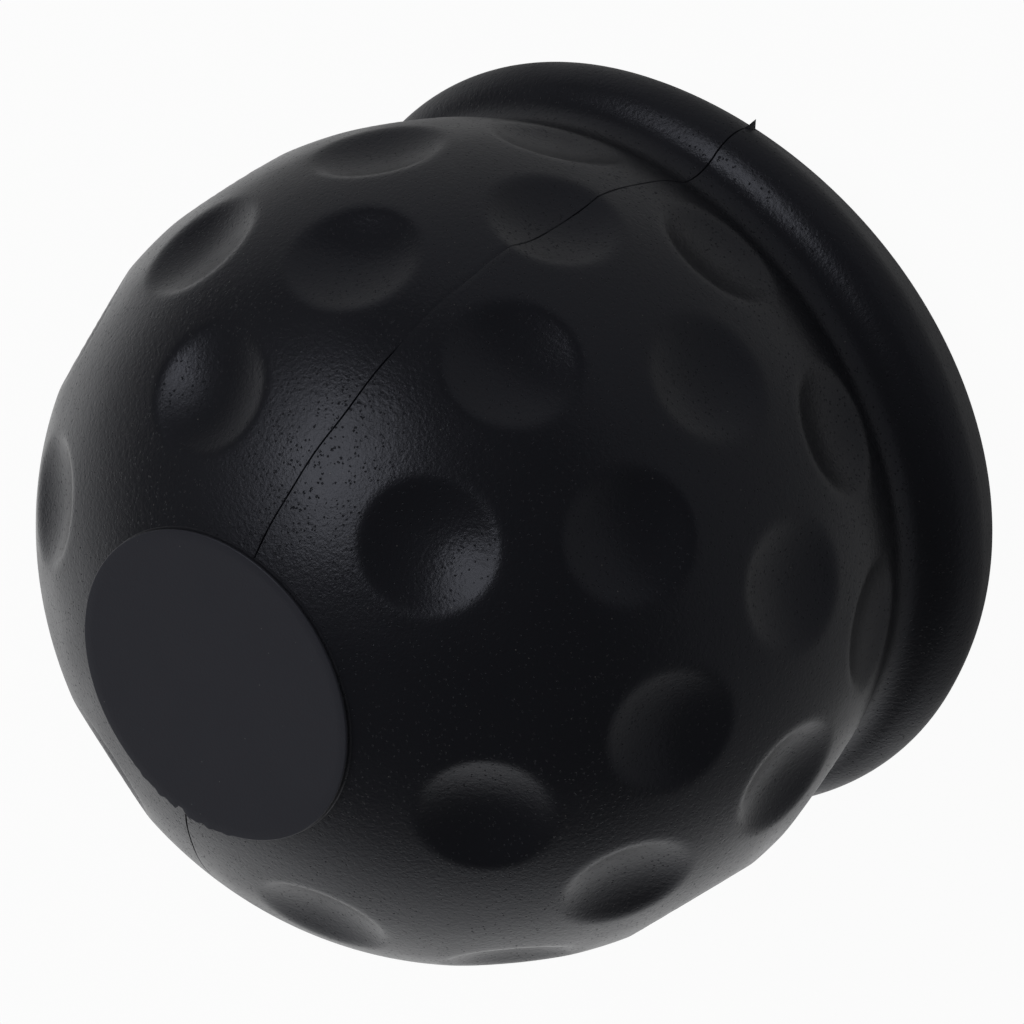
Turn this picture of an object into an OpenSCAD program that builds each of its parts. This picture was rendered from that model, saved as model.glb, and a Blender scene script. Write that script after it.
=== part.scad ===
// Tow ball cover: one soft rubber moulding that is pushed over a 50 mm tow ball.
// A dimpled ball with a flat disc on its crown runs through a narrow neck into a rounded skirt.
// The origin is the centre of the open rim, which the cover stands on, and +Z points to the crown.
// The mould's parting plane is X = 0, and the dimples lie evenly on both sides of it.

/* [Ball] */
// Thickness of the rubber round the socket
wall = 8.8; // [8.3:0.1:10.8]
// Depth by which the ball's round would pass below the rim
ball_sink = 3; // [1:0.1:3.6]
// By how much the radius of the ball's flatter top is larger than the ball's
crown_gain = 3.2; // [2.6:0.1:6]
// Depth of that top's centre below the ball's centre
crown_drop = 5; // [4.6:0.1:5.4]

/* [Crown disc] */
// Diameter of the flat disc on the crown
disc_d = 26.2; // [20:0.2:28]
// Height of the disc's edge above the ball's surface
disc_h = 0.45; // [0.2:0.05:1.2]

/* [Dimples] */
// Radius of a dimple, out to where its rounded rim meets the ball
dimple_r = 6; // [5:0.1:6.4]
// Depth of a dimple below the ball's surface
dimple_depth = 1.5; // [0.8:0.1:2]
// Radius that rounds a dimple's rim
rim_r = 4; // [2:0.5:6]
// Angle at which a dimple's rim meets the ball
rim_angle = 4; // [2:1:8]
// Dimples in the ring nearest the disc
crown_count = 6; // [5:1:7]
// Dimples in each of the other rings
ring_count = 12; // [9:1:12]
// Angle from the crown to the ring nearest the disc, seen from the flatter top's centre
crown_ring_angle = 38; // [36:0.5:39]
// Angle from the crown to the second ring, seen from the ball's centre
upper_ring_angle = 67; // [66:0.2:68]
// Angle from the crown to the third ring, at the ball's widest level
middle_ring_angle = 89; // [88:0.2:90]
// Angle from the crown to the lowest ring
lower_ring_angle = 109; // [107:0.2:110]

/* [Skirt] */
// Diameter of the skirt at its widest level
skirt_d = 64; // [60:1:70]
// Height of the skirt's widest level above the rim
skirt_z = 7.2; // [6.6:0.1:7.6]
// Radius of the skirt's shoulder, round its widest level
shoulder_r = 3.4; // [2.6:0.1:4]
// Radius of the skirt's side, from the shoulder down to the rim
side_r = 11.8; // [11.4:0.1:20]
// Angle below the level at which the side takes over from the shoulder
side_angle = 15; // [8:1:20]
// Radius of the groove between ball and skirt
neck_r = 2; // [1:0.1:3]

/* [Socket] */
// Diameter of the tow ball
tow_ball_d = 50; // [45:0.5:50.5]
// Gap all round the tow ball
socket_gap = 0.2; // [0:0.1:0.5]
// By how much nearer to the axis the gripping collar lies than the tow ball's widest level
collar_grip = 4.5; // [4:0.1:8]
// Height of the collar's straight bore
collar_h = 5; // [4:0.5:7]
// Distance from the skirt's widest level in to the mouth's edge
mouth_inset = 6; // [5.5:0.1:8]
// Radius of the mouth's inner edge
mouth_r = 1; // [0.5:0.1:1.5]

/* [Hidden] */
rubber = [0.05, 0.05, 0.057];
// Radii of the socket, of the ball and of the ball's flatter top
socket_r = tow_ball_d / 2 + socket_gap;
ball_r = socket_r + wall;
crown_r = ball_r + crown_gain;
ball_d = 2 * ball_r;
// Height of the ball's centre above the rim
ball_z = ball_r - ball_sink;
skirt_r = skirt_d / 2;
// Angle between two dimples of a ring
ring_step = 360 / ring_count;
// The rings on the round of the ball, each with its angle from the crown and its turn
rings = [
    [upper_ring_angle, ring_step / 2],
    [middle_ring_angle, 0],
    [lower_ring_angle, ring_step / 2]
];
// Smoothness of the long curves and of the dimples
body_facets = 180;
dimple_facets = 48;
// Length by which a cutter passes the surface that it opens
over = 1;
// Depth under the ball's surface at which a dimple's flare starts, and the flare's length
flare_start = 0.03;
flare_l = 1.2;
// Depth to which the groove bites into ball and shoulder, so that it crosses them cleanly
neck_bite = 0.04;

// Point at a distance from the origin, in the direction of an angle from the X axis
function at_angle(distance, angle) = [distance * cos(angle), distance * sin(angle)];
// Centre of a circle of radius r in the corner between two others: one of radius r1 at the
// origin, and one of radius r2 at c2. It cuts into both by the depth given as bite.
function corner_centre(r1, c2, r2, r, bite) =
    let (
        reach1 = r1 + r - bite,
        reach2 = r2 + r - bite,
        d = norm(c2),
        foot = (reach1 * reach1 - reach2 * reach2 + d * d) / (2 * d),
        angle = atan2(c2[1], c2[0]) + acos(foot / reach1)
    )
    at_angle(reach1, angle);

// Half outline of the outside, round the ball's centre: the ball with its flatter top and the
// disc on it, the skirt with its shoulder, and the groove between ball and skirt
module outside_outline() {
    disc_r = disc_d / 2;
    disc_top = sqrt(crown_r * crown_r - disc_r * disc_r) - crown_drop + disc_h;
    shoulder = [skirt_r - shoulder_r, skirt_z - ball_z];
    side = shoulder - at_angle(side_r - shoulder_r, -side_angle);
    groove = corner_centre(ball_r, shoulder, shoulder_r, neck_r, neck_bite);
    difference() {
        union() {
            intersection() {
                circle(ball_r, $fn = body_facets);
                translate([0, -crown_drop]) circle(crown_r, $fn = body_facets);
                translate([0, -ball_z]) square([ball_d, ball_z + disc_top]);
            }
            square([disc_r, disc_top]);
            translate(shoulder) circle(shoulder_r, $fn = body_facets);
            intersection() {
                translate(side) circle(side_r, $fn = body_facets);
                polygon([
                    side,
                    [0, side[1]],
                    [0, -ball_z],
                    [side[0] + side_r + over, -ball_z],
                    side + at_angle(side_r + over, -side_angle)
                ]);
            }
            polygon([[0, 0], [0, side[1]], side, shoulder, groove]);
        }
        translate(groove) circle(neck_r, $fn = body_facets);
    }
}

// Half outline of the hollow: the socket, the collar's bore and the flared mouth
module hollow_outline() {
    collar_r = tow_ball_d / 2 - collar_grip;
    mouth_edge = skirt_r - mouth_inset;
    collar_top = ball_z - sqrt(socket_r * socket_r - collar_r * collar_r);
    collar_foot = collar_top - collar_h;
    translate([0, ball_z]) circle(socket_r, $fn = body_facets);
    polygon([
        [0, -over],
        [mouth_edge, -over],
        [mouth_edge, 0],
        [mouth_edge - mouth_r, mouth_r],
        [collar_r, collar_foot],
        [collar_r, collar_top],
        [0, collar_top]
    ]);
}

// One dimple, cut along +Z into a ball of radius r round the origin: a round bowl with a
// rounded rim
module dimple(r) {
    // The rim's curve ends just under the ball's surface, and a flat flare leaves the ball there
    edge_angle = asin(dimple_r / r);
    edge = at_angle(r - flare_start, 90 - edge_angle);
    lean = edge_angle - rim_angle;
    flare_end = edge + at_angle(flare_l, -lean);
    rim_centre = edge - at_angle(rim_r, 90 - lean);
    // The bowl stands on the floor and touches the rim's curve
    floor_z = r - dimple_depth;
    rise = rim_centre[1] - floor_z;
    bowl_r = (pow(rim_centre[0], 2) + rise * rise - rim_r * rim_r) / (2 * (rim_r + rise));
    bowl_centre = [0, floor_z + bowl_r];
    touch = bowl_centre + (rim_centre - bowl_centre) * bowl_r / (bowl_r + rim_r);
    rotate_extrude($fn = dimple_facets) difference() {
        union() {
            intersection() {
                translate(bowl_centre) circle(bowl_r, $fn = body_facets);
                translate([0, floor_z - over]) square([touch[0], touch[1] - floor_z + over]);
            }
            polygon([
                [0, touch[1]],
                touch,
                edge,
                flare_end,
                [flare_end[0], r + over],
                [0, r + over]
            ]);
        }
        translate(rim_centre) circle(rim_r, $fn = body_facets);
    }
}

// The whole moulding
module cover() {
    color(rubber) difference() {
        rotate_extrude($fn = body_facets) difference() {
            translate([0, ball_z]) outside_outline();
            hollow_outline();
        }
        for (place = [0 : crown_count - 1])
            translate([0, 0, ball_z - crown_drop])
                rotate([0, crown_ring_angle, place * 360 / crown_count])
                    dimple(crown_r);
        for (ring = rings, place = [0 : ring_count - 1])
            translate([0, 0, ball_z])
                rotate([0, ring[0], ring[1] + place * ring_step])
                    dimple(ball_r);
    }
}

cover();
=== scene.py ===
"""Studio scene of a soft rubber tow ball cover: a dimpled ball with a flat crown and a skirt."""

import logging
import math
from dataclasses import dataclass, field
from enum import Enum
from typing import Union

import bpy
import numpy as np
from mathutils import Matrix, Vector


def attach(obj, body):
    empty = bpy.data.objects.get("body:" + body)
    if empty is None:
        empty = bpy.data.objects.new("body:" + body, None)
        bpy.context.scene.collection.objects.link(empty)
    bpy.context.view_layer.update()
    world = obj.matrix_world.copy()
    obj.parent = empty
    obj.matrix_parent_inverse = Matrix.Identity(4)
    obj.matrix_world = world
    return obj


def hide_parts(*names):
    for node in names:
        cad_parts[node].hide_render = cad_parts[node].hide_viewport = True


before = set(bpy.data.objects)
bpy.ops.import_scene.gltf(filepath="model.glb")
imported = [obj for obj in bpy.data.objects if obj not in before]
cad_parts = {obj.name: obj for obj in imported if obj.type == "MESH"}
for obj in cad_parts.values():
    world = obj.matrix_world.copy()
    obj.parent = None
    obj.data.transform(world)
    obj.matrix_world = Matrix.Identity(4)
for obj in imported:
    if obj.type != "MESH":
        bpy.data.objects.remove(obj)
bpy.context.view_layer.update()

LOG = logging.getLogger("tow_ball_cover")
MM = 0.001
WELD = 1e-6
PHOTO_SIZE = 1024
Point = tuple[float, float]
Value = Union["Socket", float]


# Mesh tools


def clear_selection() -> None:
    """Leave edit mode and deselect every object."""
    if bpy.context.object and bpy.context.object.mode != "OBJECT":
        bpy.ops.object.mode_set(mode="OBJECT")
    bpy.ops.object.select_all(action="DESELECT")


def activate(piece: bpy.types.Object) -> None:
    """Select one object alone and make it the active one.

    Args:
        piece: The object to work on.
    """
    clear_selection()
    piece.select_set(True)
    bpy.context.view_layer.objects.active = piece


def read_points(piece: bpy.types.Object) -> np.ndarray:
    """Read a mesh's vertices.

    Args:
        piece: The mesh object.

    Returns:
        The vertices as rows of x, y and z, in metres.
    """
    flat = np.empty(len(piece.data.vertices) * 3)
    piece.data.vertices.foreach_get("co", flat)
    return flat.reshape(-1, 3)


def read_normals(piece: bpy.types.Object) -> np.ndarray:
    """Read a mesh's vertex normals.

    Args:
        piece: The mesh object.

    Returns:
        The normals as rows of x, y and z.
    """
    flat = np.empty(len(piece.data.vertices) * 3)
    piece.data.vertex_normals.foreach_get("vector", flat)
    return flat.reshape(-1, 3)


def write_points(piece: bpy.types.Object, points: np.ndarray) -> None:
    """Move a mesh's vertices.

    Args:
        piece: The mesh object.
        points: The new places, in the order of the vertices.
    """
    piece.data.vertices.foreach_set("co", points.ravel())
    piece.data.update()


def smooth_step(value: np.ndarray, low: float, high: float) -> np.ndarray:
    """Rise smoothly from 0 to 1 between two values.

    Args:
        value: The numbers to map.
        low: Where the rise starts.
        high: Where it ends. It may lie below low, which turns the rise round.

    Returns:
        The mapped numbers.
    """
    t = np.clip((value - low) / (high - low), 0.0, 1.0)
    return t * t * (3.0 - 2.0 * t)


def on_circle(centre: Point, radius: float, degrees: float) -> Point:
    """Find a point of a circle in the section's plane.

    Args:
        centre: The circle's centre, as radius from the axis and height.
        radius: The circle's radius.
        degrees: The angle above the outward direction.

    Returns:
        The point, as radius from the axis and height.
    """
    angle = math.radians(degrees)
    return centre[0] + radius * math.cos(angle), centre[1] + radius * math.sin(angle)


@dataclass
class Section:
    """A half outline, collected point by point from the crown to the inside of the socket."""

    points: list[Point] = field(default_factory=list)

    def to(self, end: Point, steps: int = 1) -> None:
        """Go straight to a point.

        Args:
            end: The point to reach.
            steps: How many equal steps the way takes.
        """
        start = self.points[-1] if self.points else end
        over, up = end[0] - start[0], end[1] - start[1]
        for i in range(1, steps + 1):
            t = i / steps
            self.points.append((start[0] + over * t, start[1] + up * t))

    def arc(self, centre: Point, radius: float, start: float, end: float, steps: int) -> None:
        """Follow a circle.

        Args:
            centre: The circle's centre.
            radius: The circle's radius.
            start: The angle of the first point, in degrees above the outward direction.
            end: The angle of the last point.
            steps: How many steps the arc takes.
        """
        for i in range(steps + 1):
            self.points.append(on_circle(centre, radius, start + (end - start) * i / steps))


# The moulding


@dataclass(frozen=True)
class Ring:
    """One ring of dimples.

    Attributes:
        polar: Angle from the crown, in degrees.
        count: Number of dimples.
        turn: Angle of the first dimple about the axis, in degrees.
        depth: Depth of the dimples, in metres.
    """

    polar: float
    count: int
    turn: float
    depth: float


@dataclass
class Moulding:
    """The rubber moulding: ball, crown disc, dimples, neck, skirt and the hollow inside.

    Lengths are in metres. Heights are above the rim, which stands on the floor. What lies more
    than "deep" outside the socket's round belongs to the outside.
    """

    ball_r: float = 34.0 * MM
    ball_z: float = 31.0 * MM
    crown_r: float = 36.55 * MM
    crown_drop: float = 4.07 * MM
    crown_blend: float = 0.25 * MM
    disc_r: float = 13.1 * MM
    disc_h: float = 0.6 * MM
    disc_edge_r: float = 0.12 * MM
    dimple_r: float = 5.35 * MM
    dimple_softness: float = 0.06
    rings: tuple[Ring, ...] = (
        Ring(42.6, 6, 0.0, 1.5 * MM),
        Ring(66.5, 12, 16.2, 1.5 * MM),
        Ring(88.7, 12, 0.0, 1.5 * MM),
        Ring(108.5, 12, 15.0, 1.3 * MM),
    )
    skirt_r: float = 32.3 * MM
    skirt_z: float = 7.9 * MM
    shoulder_r: float = 3.2 * MM
    side_r: float = 21.8 * MM
    side_angle: float = 28.75
    neck_r: float = 3.0 * MM
    rim_edge_r: float = 0.6 * MM
    socket_r: float = 25.2 * MM
    collar_r: float = 20.5 * MM
    collar_h: float = 5.0 * MM
    mouth_r: float = 23.6 * MM
    mouth_edge_r: float = 1.0 * MM
    ball_oval: float = 0.037
    skirt_oval: float = 0.052
    oval_top: float = 10.6 * MM
    oval_foot: float = 0.0 * MM
    seam_w: float = 0.08 * MM
    seam_depth: float = 0.11 * MM
    seam_sway: float = 0.07 * MM
    flash_tip: float = 1.1 * MM
    flash_z: float = 6.3 * MM
    flash_h: float = 0.55 * MM
    burr: float = 0.35 * MM
    burr_turn: float = 24.0
    notch_turn: float = 1.2
    deep: float = 3.0 * MM
    segments: int = 360

    def disc_top(self) -> float:
        """Return the height of the crown disc's face above the rim."""
        return self.crown_foot() + self.disc_h

    def crown_foot(self) -> float:
        """Return the height at which the disc's side leaves the ball."""
        return self.ball_z - self.crown_drop + math.sqrt(self.crown_r**2 - self.disc_r**2)

    def ball_reach(self, polar: float) -> float:
        """Find how far the ball's surface is from its centre, with its flatter top blended in.

        Args:
            polar: Angle from the crown, in degrees.

        Returns:
            The distance in metres, without dimples.
        """
        angle = math.radians(polar)
        drop = self.crown_drop
        flat = math.sqrt(self.crown_r**2 - (drop * math.sin(angle)) ** 2) - drop * math.cos(angle)
        gap = (flat - self.ball_r) / self.crown_blend
        if abs(gap) > 40.0:
            return min(flat, self.ball_r)
        return flat - self.crown_blend * math.log1p(math.exp(gap))

    def on_ball(self, polar: float) -> Point:
        """Return a point of the ball's half outline at an angle from the crown, in degrees."""
        return on_circle((0.0, self.ball_z), self.ball_reach(polar), 90.0 - polar)

    def shoulder(self) -> Point:
        """Return the centre of the skirt's shoulder in the half outline."""
        return self.skirt_r - self.shoulder_r, self.skirt_z

    def groove(self) -> Point:
        """Return the centre of the groove between ball and skirt, which touches both."""
        centre = self.shoulder()
        over, down = centre[0], centre[1] - self.ball_z
        away = math.hypot(over, down)
        reach = self.ball_r + self.neck_r
        other = self.shoulder_r + self.neck_r
        foot = (reach**2 - other**2 + away**2) / (2.0 * away)
        angle = math.atan2(down, over) + math.acos(foot / reach)
        return reach * math.cos(angle), self.ball_z + reach * math.sin(angle)

    def outside(self, line: Section) -> None:
        """Draw the outside, from the middle of the crown disc down to the rim.

        Args:
            line: The section to draw on.
        """
        top = self.disc_top()
        edge = (self.disc_r - self.disc_edge_r, top - self.disc_edge_r)
        line.to((0.0, top))
        line.to((edge[0], top), steps=16)
        line.arc(edge, self.disc_edge_r, 67.5, 0.0, 3)
        line.to((self.disc_r, self.crown_foot() + 0.08 * MM), steps=2)
        start = math.degrees(math.atan2(self.disc_r + 0.08 * MM, self.crown_foot() - self.ball_z))
        groove, shoulder = self.groove(), self.shoulder()
        end = 90.0 - math.degrees(math.atan2(groove[1] - self.ball_z, groove[0]))
        steps = 134
        for i in range(steps):
            line.to(self.on_ball(start + (end - start) * i / steps))
        to_ball = math.degrees(math.atan2(self.ball_z - groove[1], -groove[0]))
        lean = math.degrees(math.atan2(shoulder[1] - groove[1], shoulder[0] - groove[0])) % 360.0
        line.arc(groove, self.neck_r, to_ball, lean, 12)
        line.arc(shoulder, self.shoulder_r, lean - 180.0 - 5.0, -self.side_angle, 18)
        side = on_circle(shoulder, self.shoulder_r - self.side_r, -self.side_angle)
        low = math.degrees(math.asin((self.rim_edge_r - side[1]) / (self.side_r - self.rim_edge_r)))
        line.arc(side, self.side_r, -self.side_angle - 2.0, low, 16)
        rim = on_circle(side, self.side_r - self.rim_edge_r, low)
        line.arc(rim, self.rim_edge_r, low - 15.0, -90.0, 4)

    def inside(self, line: Section) -> None:
        """Draw the hollow, from the rim's inner edge up to the top of the socket.

        Args:
            line: The section to draw on.
        """
        mouth = (self.mouth_r + self.mouth_edge_r, self.mouth_edge_r)
        line.arc(mouth, self.mouth_edge_r, -90.0, -180.0, 4)
        drop = math.sqrt(self.socket_r**2 - self.collar_r**2)
        collar_top = self.ball_z - drop
        line.to((self.collar_r, collar_top - self.collar_h), steps=8)
        line.to((self.collar_r, collar_top), steps=4)
        foot = -math.degrees(math.asin(drop / self.socket_r))
        line.arc((0.0, self.ball_z), self.socket_r, foot + 4.0, 90.0, 26)

    def spin(self) -> bpy.types.Object:
        """Lay a ring of points along the section and spin it about the axis.

        Returns:
            The closed shell.
        """
        line = Section()
        self.outside(line)
        self.inside(line)
        clear_selection()
        bpy.ops.mesh.primitive_circle_add(vertices=len(line.points), radius=self.ball_r)
        piece = bpy.context.object
        piece.name = piece.data.name = "cover_moulding"
        write_points(piece, np.array([(r, 0.0, z) for r, z in line.points]))
        bpy.ops.object.mode_set(mode="EDIT")
        bpy.ops.mesh.select_all(action="DESELECT")
        bpy.ops.object.mode_set(mode="OBJECT")
        last = len(line.points) - 1
        for edge in piece.data.edges:
            edge.select = set(edge.vertices) == {0, last}
        bpy.ops.object.mode_set(mode="EDIT")
        bpy.ops.mesh.select_mode(type="EDGE")
        bpy.ops.mesh.delete(type="EDGE_FACE")
        bpy.ops.mesh.select_all(action="SELECT")
        bpy.ops.mesh.spin(
            steps=self.segments, angle=2.0 * math.pi, center=(0.0, 0.0, 0.0), axis=(0.0, 0.0, 1.0)
        )
        bpy.ops.mesh.select_all(action="SELECT")
        bpy.ops.mesh.remove_doubles(threshold=WELD)
        bpy.ops.mesh.normals_make_consistent(inside=False)
        bpy.ops.object.mode_set(mode="OBJECT")
        return piece

    def score(self, piece: bpy.types.Object) -> None:
        """Cut edge loops along the mould's parting plane, where the seam runs.

        Args:
            piece: The shell.
        """
        activate(piece)
        bpy.ops.object.mode_set(mode="EDIT")
        for place in (-1.0, 0.0, 1.0):
            bpy.ops.mesh.select_all(action="SELECT")
            bpy.ops.mesh.bisect(
                plane_co=(place * self.seam_w, 0.0, 0.0), plane_no=(1.0, 0.0, 0.0), threshold=WELD
            )
        bpy.ops.object.mode_set(mode="OBJECT")

    def dimple_centres(self) -> list[tuple[np.ndarray, float]]:
        """List the middle of each dimple on the ball's surface, with its depth."""
        centres = []
        for ring in self.rings:
            r, z = self.on_ball(ring.polar)
            for i in range(ring.count):
                turn = math.radians(ring.turn + 360.0 * i / ring.count)
                centres.append((np.array([r * math.cos(turn), r * math.sin(turn), z]), ring.depth))
        return centres

    def press_dimples(self, points: np.ndarray) -> np.ndarray:
        """Press the dimples into the ball as round bowls with soft rims.

        Args:
            points: The shell's vertices.

        Returns:
            The moved vertices.
        """
        centre = np.array([0.0, 0.0, self.ball_z])
        ray = points - centre
        reach = np.linalg.norm(ray, axis=1)
        outer = reach > self.socket_r + self.deep
        soft = self.dimple_softness
        depth = np.zeros(len(points))
        for middle, deep in self.dimple_centres():
            away = np.linalg.norm(points - middle, axis=1) / self.dimple_r
            bowl = soft * np.logaddexp(0.0, (1.0 - away**2) / soft)
            depth = np.maximum(depth, np.where(away < 1.6, bowl * deep, 0.0))
        on_disc = points[:, 2] > self.crown_foot() - 0.2 * MM
        depth[~outer | on_disc] = 0.0
        return points - ray / reach[:, None] * depth[:, None]

    def press_seam(self, points: np.ndarray, normals: np.ndarray) -> np.ndarray:
        """Press the fine, slightly wavy seam along the parting plane into the ball and the skirt.

        It almost fades between the second and the third ring, is open next to the disc on one
        side, and ends in a small tag of flash on the other side of the skirt.

        Args:
            points: The shell's vertices.
            normals: Their normals.

        Returns:
            The moved vertices.
        """
        ray = points - np.array([0.0, 0.0, self.ball_z])
        reach = np.linalg.norm(ray, axis=1)
        polar = np.degrees(np.arccos(ray[:, 2] / reach))
        outer = (reach > self.socket_r + self.deep) & (points[:, 2] > 1.0 * MM)
        near = outer & (np.abs(points[:, 0]) < 1.2 * self.seam_w)
        on_disc = points[:, 2] > self.crown_foot() + 0.1 * MM
        below = points[:, 2] < self.ball_z - 0.75 * self.ball_r
        inside = below & (np.hypot(points[:, 0], points[:, 1]) < self.mouth_r + 2.0 * MM)
        fade = 1.0 - 0.75 * smooth_step(polar, 55.0, 60.0) * smooth_step(polar, 82.0, 78.0)
        fade += 1.6 * (points[:, 1] > 0.0) * smooth_step(polar, 40.0, 34.0)
        fade *= 1.0 + 0.35 * np.sin(np.radians(polar * 31.0)) * np.sin(np.radians(polar * 17.0))
        middle = near & (np.abs(points[:, 0]) < 0.3 * self.seam_w) & ~on_disc & ~inside
        moved = points - normals * np.where(middle, self.seam_depth * fade, 0.0)[:, None]
        sway = np.sin(np.radians(polar * 13.0)) + 0.6 * np.sin(np.radians(polar * 29.0))
        moved[:, 0] += np.where(near & ~on_disc, self.seam_sway * sway, 0.0)
        off_tip = np.abs(points[:, 2] - self.flash_z)
        tip = middle & (points[:, 1] < 0.0) & (off_tip < self.flash_h)
        rise = 1.0 - off_tip / (0.8 * MM)
        return moved + normals * np.where(tip, self.flash_tip * rise, 0.0)[:, None]

    def leave_burr(self, points: np.ndarray) -> np.ndarray:
        """Leave the ragged burr on the disc's edge, where the seam meets it on one side.

        Args:
            points: The shell's vertices.

        Returns:
            The moved vertices.
        """
        radius = np.hypot(points[:, 0], points[:, 1])
        turn = np.degrees(np.arctan2(points[:, 0], points[:, 1]))
        high = points[:, 2] > self.crown_foot() + 0.3 * self.disc_h
        edge = high & (radius > self.disc_r - 0.3 * MM)
        share = np.clip(1.0 - np.abs(turn) / self.burr_turn, 0.0, 1.0) ** 0.5
        coarse = 0.3 * np.sin(np.radians(turn * 47.0))
        fine = 0.2 * np.sin(np.radians(turn * 83.0 + 40.0))
        ragged = np.where(np.abs(turn) < self.notch_turn, -0.6, 0.5 + coarse + fine)
        out = np.where(edge, self.burr * share * ragged, 0.0)
        moved = points.copy()
        moved[:, :2] *= (1.0 + out / np.maximum(radius, MM))[:, None]
        return moved

    def relax(self, points: np.ndarray) -> np.ndarray:
        """Make the soft rubber slightly oval: narrower across Y, most of all at the skirt.

        Args:
            points: The shell's vertices.

        Returns:
            The moved vertices.
        """
        share = smooth_step(points[:, 2], self.oval_top, self.oval_foot)
        moved = points.copy()
        moved[:, 0] *= 1.0 + self.skirt_oval * share
        moved[:, 1] *= 1.0 - self.ball_oval * (1.0 - share) - self.skirt_oval * share
        return moved

    def build(self) -> bpy.types.Object:
        """Model the whole moulding.

        Returns:
            The finished piece.
        """
        piece = self.spin()
        self.score(piece)
        points = read_points(piece)
        write_points(piece, self.press_dimples(points))
        points = self.press_seam(read_points(piece), read_normals(piece))
        write_points(piece, self.relax(self.leave_burr(points)))
        activate(piece)
        bpy.ops.object.shade_smooth_by_angle(angle=math.radians(35.0))
        return piece


# Finishes


@dataclass(frozen=True)
class Socket:
    """An output of a node tree that can be reckoned with."""

    tree: "Finish"
    link: bpy.types.NodeSocket

    def reckon(self, operation: str, other: Value) -> "Socket":
        """Add a Math node.

        Args:
            operation: The node's operation.
            other: Its second input.

        Returns:
            The node's output.
        """
        return self.tree.node("ShaderNodeMath", {"operation": operation}, {0: self, 1: other})

    def __add__(self, other: Value) -> "Socket":
        """Add."""
        return self.reckon("ADD", other)

    __radd__ = __add__

    def __rsub__(self, other: Value) -> "Socket":
        """Take this from a number."""
        return (self * -1.0).reckon("ADD", other)

    def __mul__(self, other: Value) -> "Socket":
        """Multiply."""
        return self.reckon("MULTIPLY", other)

    __rmul__ = __mul__

    def __lt__(self, other: Value) -> "Socket":
        """Give 1 where this is less."""
        return self.reckon("LESS_THAN", other)

    def ramp(self, low: float, high: float, start: float = 0.0, end: float = 1.0) -> "Socket":
        """Map a stretch of values smoothly onto another and hold it beyond.

        Args:
            low: Value that gives start.
            high: Value that gives end.
            start: Result at low.
            end: Result at high.

        Returns:
            The mapped value.
        """
        return self.tree.node(
            "ShaderNodeMapRange",
            {"interpolation_type": "SMOOTHSTEP", "clamp": True},
            {"Value": self, "From Min": low, "From Max": high, "To Min": start, "To Max": end},
        )


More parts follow.
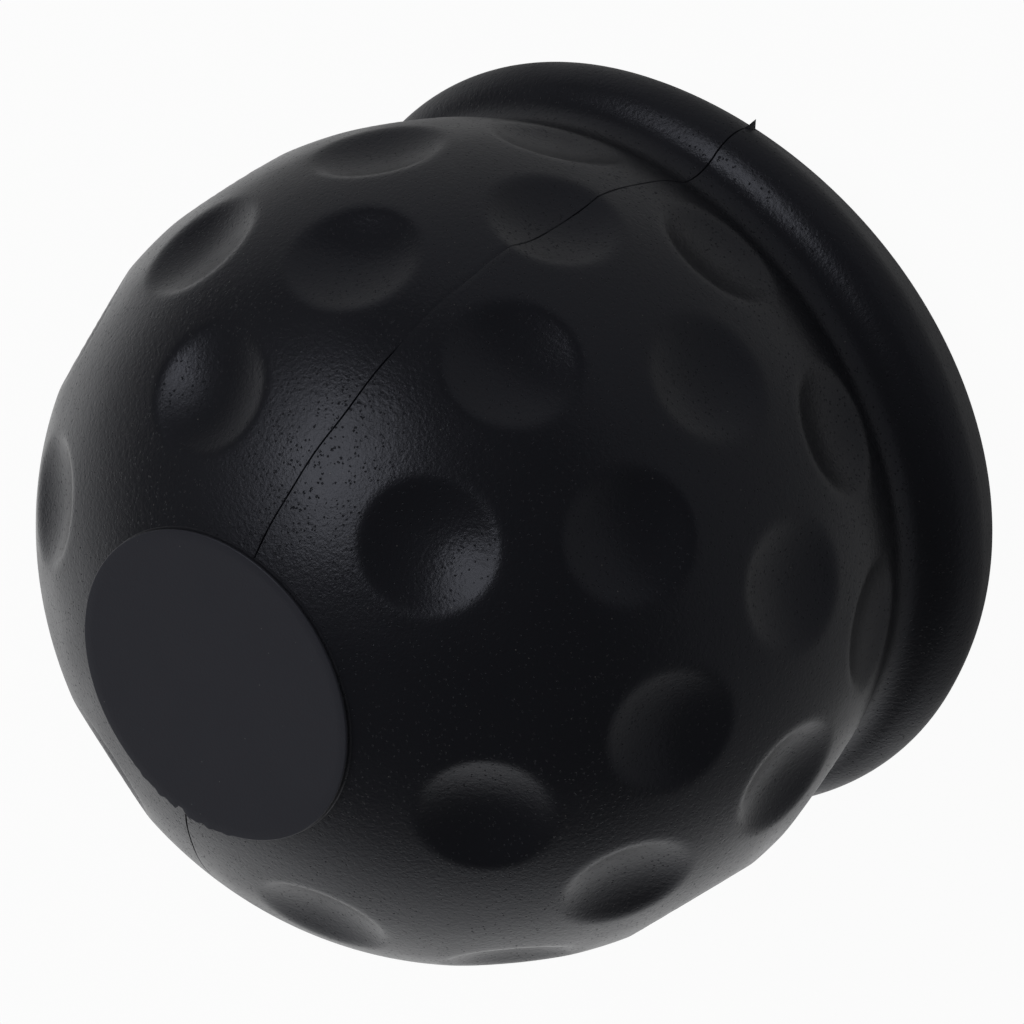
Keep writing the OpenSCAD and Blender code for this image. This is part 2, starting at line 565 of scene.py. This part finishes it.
@dataclass
class Finish:
    """A material's node tree under one Principled shader."""

    name: str
    tree: bpy.types.NodeTree | None = None
    material: bpy.types.Material | None = None

    def begin(self) -> None:
        """Start the material with an empty tree."""
        self.material = bpy.data.materials.new(self.name)
        self.material.use_nodes = True
        self.tree = self.material.node_tree
        self.tree.nodes.clear()

    def node(
        self,
        kind: str,
        settings: dict[str, object] | None = None,
        values: dict[Union[str, int], object] | None = None,
        output: Union[str, int] = 0,
    ) -> Socket:
        """Add a node.

        Args:
            kind: The node's type.
            settings: Its properties, set first.
            values: Values or links of its input sockets, by name or number.
            output: The output to hand back, by name or number.

        Returns:
            The chosen output.
        """
        made = self.tree.nodes.new(kind)
        for key, value in (settings or {}).items():
            setattr(made, key, value)
        for key, value in (values or {}).items():
            if isinstance(value, Socket):
                self.tree.links.new(value.link, made.inputs[key])
            else:
                made.inputs[key].default_value = value
        return Socket(self, made.outputs[output])

    def end(self, surface: Socket) -> bpy.types.Material:
        """Join the last shader to the material's output.

        Args:
            surface: The shader.

        Returns:
            The finished material.
        """
        last = self.tree.nodes.new("ShaderNodeOutputMaterial")
        self.tree.links.new(surface.link, last.inputs["Surface"])
        return self.material

    def blend(self, factor: Value, first: object, second: object) -> Socket:
        """Mix two colours.

        Args:
            factor: Share of the second.
            first: A colour or a link.
            second: A colour or a link.

        Returns:
            The mixed colour.
        """
        mix = self.tree.nodes.new("ShaderNodeMix")
        mix.data_type = "RGBA"
        for index, value in ((0, factor), (6, first), (7, second)):
            if isinstance(value, Socket):
                self.tree.links.new(value.link, mix.inputs[index])
            else:
                mix.inputs[index].default_value = value
        return Socket(self, mix.outputs[2])

    def place(self) -> Socket:
        """Return the object coordinates."""
        return self.node("ShaderNodeTexCoord", output="Object")

    def noise(self, place: Socket, grain: float, detail: float = 2.0, rough: float = 0.5) -> Socket:
        """Add a noise.

        Args:
            place: The coordinates.
            grain: Size of its blotches in metres.
            detail: Octaves.
            rough: Strength of the finer octaves.

        Returns:
            The noise, about 0 to 1.
        """
        return self.node(
            "ShaderNodeTexNoise",
            {"noise_dimensions": "3D"},
            {"Vector": place, "Scale": 1.0 / grain, "Detail": detail, "Roughness": rough},
        )

    def cells(self, place: Socket, grain: float, output: str = "Distance") -> Socket:
        """Add a Voronoi pattern.

        Args:
            place: The coordinates.
            grain: Size of its cells in metres.
            output: Distance or Color.

        Returns:
            The chosen output.
        """
        return self.node(
            "ShaderNodeTexVoronoi",
            {"feature": "F1", "voronoi_dimensions": "3D"},
            {"Vector": place, "Scale": 1.0 / grain},
            output,
        )

    def spots(self, place: Socket, spacing: float, radius: float, share: float) -> Socket:
        """Scatter small round spots.

        Args:
            place: The coordinates.
            spacing: Mean distance between the places that may carry a spot, in metres.
            radius: Largest radius of a spot, in metres.
            share: Share of the places that carry one.

        Returns:
            1 inside a spot and 0 outside.
        """
        seed = self.cells(place, spacing, "Color")
        pick = self.node("ShaderNodeSeparateColor", None, {0: seed}, "Red") < share
        return self.cells(place, spacing).ramp(radius / spacing, 0.5 * radius / spacing) * pick

    def bump(
        self, height: Socket, distance: float, strength: float, below: Socket | None = None
    ) -> Socket:
        """Add a bump.

        Args:
            height: The relief, 0 to 1.
            distance: The relief's height in metres.
            strength: The bump's strength.
            below: A coarser normal that it stands on.

        Returns:
            The normal.
        """
        values: dict[Union[str, int], object] = {
            "Height": height,
            "Distance": distance,
            "Strength": strength,
        }
        if below:
            values["Normal"] = below
        return self.node("ShaderNodeBump", None, values)


@dataclass
class Rubber(Finish):
    """Black moulded rubber: fine grain, small pits, a duller crown disc and specks of dust.

    Attributes:
        name: The material's name.
        disc_level: Height of the crown disc's face above the rim, in metres.
    """

    name: str = "black_rubber"
    disc_level: float = 0.0

    def make(self) -> bpy.types.Material:
        """Build the rubber.

        Returns:
            The material.
        """
        self.begin()
        place = self.place()
        height = self.node("ShaderNodeSeparateXYZ", None, {0: place}, "Z")
        across = self.node("ShaderNodeSeparateXYZ", None, {0: place}, "X")
        disc = height.ramp(self.disc_level - 0.2 * MM, self.disc_level)
        skirt = height.ramp(12.0 * MM, 9.0 * MM)
        cloud = self.noise(place, 9.0 * MM, 3.0)
        leather = self.noise(place, 0.38 * MM, 2.0, 0.6)
        grain = self.noise(place, 0.2 * MM, 2.0, 0.6)
        ragged = self.noise(place, 0.12 * MM, 1.0).ramp(0.40, 0.60)
        beside_seam = (across * across).ramp((3.0 * MM) ** 2, (1.0 * MM) ** 2)
        scars = self.spots(place, 0.55 * MM, 0.15 * MM, 0.6) * beside_seam
        pits = self.spots(place, 0.40 * MM, 0.11 * MM, 0.7).reckon("MAXIMUM", scars)
        pits = pits * ragged * (1.0 - disc)
        dust = self.spots(place, 1.0 * MM, 0.07 * MM, 0.3)
        normal = self.bump(leather * (1.0 - disc) * (1.0 + skirt * 0.5), 0.05 * MM, 0.6)
        normal = self.bump(grain, 0.022 * MM, 0.7, normal)
        normal = self.bump(1.0 - pits, 0.06 * MM, 0.8, normal)
        rough = cloud.ramp(0.35, 0.65, 0.29, 0.36) + pits * 0.3 + disc * 0.18 + skirt * 0.10
        tint = self.blend(disc, (0.0080, 0.0083, 0.0112, 1.0), (0.0232, 0.0238, 0.0315, 1.0))
        tint = self.blend(dust * 0.4, tint, (0.20, 0.19, 0.18, 1.0))
        shader = self.node(
            "ShaderNodeBsdfPrincipled",
            None,
            {
                "Base Color": tint,
                "Roughness": rough,
                "Normal": normal,
                "IOR": 1.5,
                "Specular IOR Level": 0.30,
                "Specular Tint": (0.84, 0.87, 1.0, 1.0),
            },
        )
        return self.end(shader)


@dataclass
class Backdrop(Finish):
    """A pale floor that is white to the camera and keeps the cover's shadow.

    Attributes:
        name: The material's name.
        whiten: Share of the floor that the camera sees as plain white.
        matte: Brightness of the rest, which takes the shadow.
    """

    name: str = "pale_floor"
    whiten: float = 0.96
    matte: float = 0.6

    def make(self, aim: Vector, opening: Vector, tent: dict[str, float]) -> bpy.types.Material:
        """Build the floor's finish. Reflections see it as bright as the tent's wall beyond it.

        Args:
            aim: The ball's centre.
            opening: The direction to the tent's dark opening.
            tent: The wall's brightness, from behind the cover to the opening.

        Returns:
            The material.
        """
        self.begin()
        path = self.tree.nodes.new("ShaderNodeLightPath")
        vector = "ShaderNodeVectorMath"
        away = self.node(vector, {"operation": "SUBTRACT"}, {0: self.place(), 1: aim})
        away = self.node(vector, {"operation": "NORMALIZE"}, {0: away})
        facing = self.node(vector, {"operation": "DOT_PRODUCT"}, {0: away, 1: opening}, "Value")
        smooth = {"interpolation_type": "SMOOTHSTEP"}
        wall = self.node("ShaderNodeMapRange", smooth, {"Value": facing, **tent})
        by_camera, by_gloss, by_glass = (
            Socket(self, path.outputs[name])
            for name in ("Is Camera Ray", "Is Glossy Ray", "Is Transmission Ray")
        )
        seen = (by_camera + (by_gloss + by_glass) * wall).reckon("MINIMUM", 1.0)
        grey = (self.matte, self.matte, self.matte, 1.0)
        matte = self.node("ShaderNodeBsdfDiffuse", None, {"Color": grey})
        white = (1.0, 1.0, 1.0, 1.0)
        glow = self.node("ShaderNodeEmission", None, {"Color": white, "Strength": 1.0})
        mixed = self.node("ShaderNodeMixShader", None, {0: seen * self.whiten, 1: matte, 2: glow})
        return self.end(mixed)


# The studio


class Side(Enum):
    """Directions from the cover, as steps right, up and towards the camera.

    LEFT leads to the key lamp and OPENING to the tent's dark opening.
    """

    LEFT = (-0.61, 0.29, 0.74)
    OPENING = (0.05, 0.25, 1.0)


@dataclass(frozen=True)
class Softbox:
    """One soft lamp.

    Attributes:
        name: The lamp's name.
        side: Where it stands, seen from the camera.
        distance: Distance from the ball's centre in metres.
        width: Width in metres, along the picture's level.
        height: Height in metres.
        power: Power in watts.
    """

    name: str
    side: Side
    distance: float
    width: float
    height: float
    power: float


@dataclass
class Studio:
    """The floor, the lamps and the camera.

    Attributes:
        aim: The point of the cover that the camera measures from.
        azimuth: The camera's side in degrees, 0 looking along +Y.
        elevation: The camera's height in degrees.
        roll: The camera's turn about its own view in degrees.
        focal_px: Focal length in pixels of the photograph.
        aim_px: Where the aim point lies in the photograph.
        scale_px: Pixels of the photograph to the ball's radius.
        ball_r: The ball's radius in metres.
        sensor: The camera's sensor width in millimetres.
        floor_size: The floor's width in metres.
        tent: The tent's brightness, from behind the cover round to its dark opening.
        lamps: The soft lamps.
    """

    aim: Vector
    ball_r: float
    azimuth: float = -33.49
    elevation: float = 43.99
    roll: float = -119.95
    focal_px: float = 10000.0
    aim_px: tuple[float, float] = (465.8, 540.8)
    scale_px: float = 433.74
    sensor: float = 36.0
    floor_size: float = 6.0
    tent: dict[str, float] = field(
        default_factory=lambda: {
            "From Min": -0.66,
            "From Max": -0.18,
            "To Min": 1.0,
            "To Max": 0.13,
        }
    )
    lamps: tuple[Softbox, ...] = (Softbox("key_lamp", Side.LEFT, 0.60, 0.28, 0.40, 1.2),)

    def axes(self) -> tuple[Vector, Vector, Vector]:
        """Return the camera's right, up and back directions."""
        a, e, t = (math.radians(v) for v in (self.azimuth, self.elevation, self.roll))
        back = Vector((math.sin(a) * math.cos(e), -math.cos(a) * math.cos(e), math.sin(e)))
        level = Vector((math.cos(a), math.sin(a), 0.0))
        upright = back.cross(level)
        right = level * math.cos(t) + upright * math.sin(t)
        return right, back.cross(right), back

    def toward(self, side: Side) -> Vector:
        """Return the direction from the cover to a side of the picture."""
        right, up, back = self.axes()
        steps = side.value
        return (right * steps[0] + up * steps[1] + back * steps[2]).normalized()

    def add_camera(self) -> bpy.types.Object:
        """Place the camera where the photograph was taken from.

        Returns:
            The camera.
        """
        right, up, back = self.axes()
        away = self.focal_px / self.scale_px * self.ball_r
        half = PHOTO_SIZE / 2
        over = (self.aim_px[0] - half) / self.focal_px * away
        down = (self.aim_px[1] - half) / self.focal_px * away
        clear_selection()
        bpy.ops.object.camera_add()
        camera = bpy.context.object
        camera.name = "photo_camera"
        camera.location = self.aim - right * over + up * down + back * away
        camera.rotation_euler = Matrix((right, up, back)).transposed().to_euler()
        camera.data.sensor_width = self.sensor
        camera.data.lens = self.focal_px / PHOTO_SIZE * self.sensor
        camera.data.clip_start = 0.01
        bpy.context.scene.camera = camera
        return camera

    def add_lamp(self, box: Softbox) -> None:
        """Hang one soft lamp.

        Args:
            box: The lamp's place, size and power.
        """
        toward = self.toward(box.side)
        clear_selection()
        bpy.ops.object.light_add(type="AREA", location=self.aim + toward * box.distance)
        lamp = bpy.context.object
        lamp.name = box.name
        level = self.axes()[1].cross(toward).normalized()
        lamp.rotation_euler = Matrix((level, toward.cross(level), toward)).transposed().to_euler()
        lamp.data.shape = "RECTANGLE"
        lamp.data.size = box.width
        lamp.data.size_y = box.height
        lamp.data.energy = box.power

    def add_floor(self) -> None:
        """Lay the floor."""
        clear_selection()
        bpy.ops.mesh.primitive_plane_add(size=self.floor_size)
        floor = bpy.context.object
        floor.name = "studio_floor"
        floor.data.materials.append(Backdrop().make(self.aim, self.toward(Side.OPENING), self.tent))

    def add_tent(self) -> None:
        """Put a white light tent round the cover, with its dark opening toward the camera."""
        world = bpy.data.worlds.new("light_tent")
        world.use_nodes = True
        tree = world.node_tree
        place = tree.nodes.new("ShaderNodeTexCoord")
        facing = tree.nodes.new("ShaderNodeVectorMath")
        facing.operation = "DOT_PRODUCT"
        facing.inputs[1].default_value = self.toward(Side.OPENING)
        wall = tree.nodes.new("ShaderNodeMapRange")
        wall.interpolation_type = "SMOOTHSTEP"
        for name, value in self.tent.items():
            wall.inputs[name].default_value = value
        tree.links.new(place.outputs["Generated"], facing.inputs[0])
        tree.links.new(facing.outputs["Value"], wall.inputs["Value"])
        tree.links.new(wall.outputs["Result"], tree.nodes["Background"].inputs["Strength"])
        tree.nodes["Background"].inputs["Color"].default_value = (1.0, 1.0, 1.0, 1.0)
        bpy.context.scene.world = world

    def build(self) -> None:
        """Set up the whole studio."""
        self.add_floor()
        self.add_tent()
        for box in self.lamps:
            self.add_lamp(box)
        self.add_camera()
        bpy.context.scene.view_settings.view_transform = "Standard"


def main() -> None:
    """Build the cover, dress it and light it."""
    logging.basicConfig(level=logging.INFO)
    moulding = Moulding()
    piece = moulding.build()
    piece.data.materials.append(Rubber(disc_level=moulding.disc_top()).make())
    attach(piece, "root")
    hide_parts("cover")
    LOG.info("built %s with %d faces", piece.name, len(piece.data.polygons))
    Studio(aim=Vector((0.0, 0.0, moulding.ball_z)), ball_r=moulding.ball_r).build()
    LOG.info("set up the studio")


if __name__ == "__main__":
    main()
